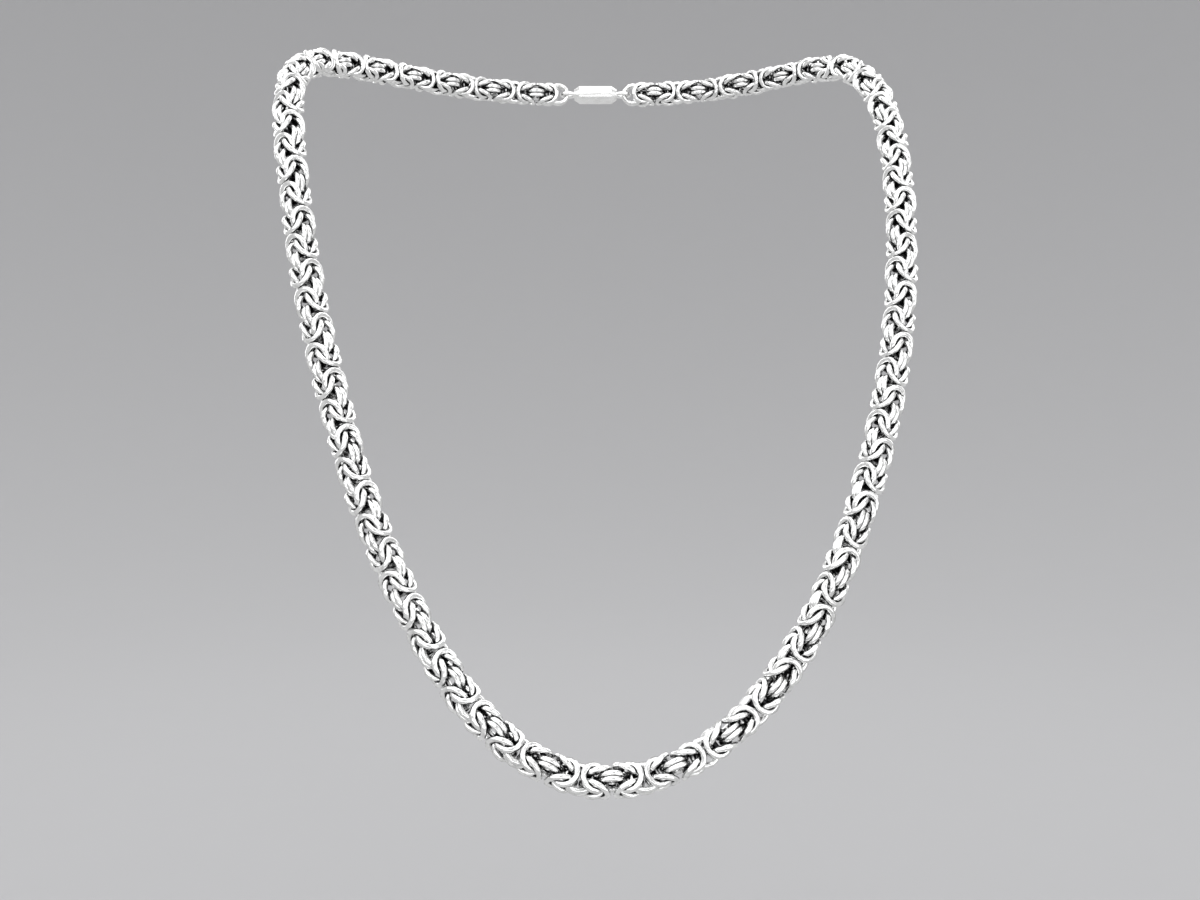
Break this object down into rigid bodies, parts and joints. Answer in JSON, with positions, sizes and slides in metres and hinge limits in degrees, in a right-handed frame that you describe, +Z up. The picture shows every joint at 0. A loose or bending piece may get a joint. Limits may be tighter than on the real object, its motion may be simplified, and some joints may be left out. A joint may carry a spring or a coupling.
{
  "type": "byzantine chain necklace",
  "caption": "Necklace of byzantine weave in round polished silver wire, shown in its worn shape, closed at the nape by a plain barrel clasp.",
  "frame": {"origin": "middle of the clasp at the nape, where the loop sits on the back of the neck", "axes": "+Z up as worn, +Y to the back of the neck, +X to the right as seen from the front"},
  "size_m": [0.148, 0.125, 0.1726],
  "materials": {
    "chain_silver": "polished silver, darkened in the deep places between the links",
    "clasp_silver": "polished silver with fine hairlines from wear"
  },
  "bodies": {
    "root": {"chain": "chain_silver", "clasp": "clasp_silver"}
  },
  "joints": []
}
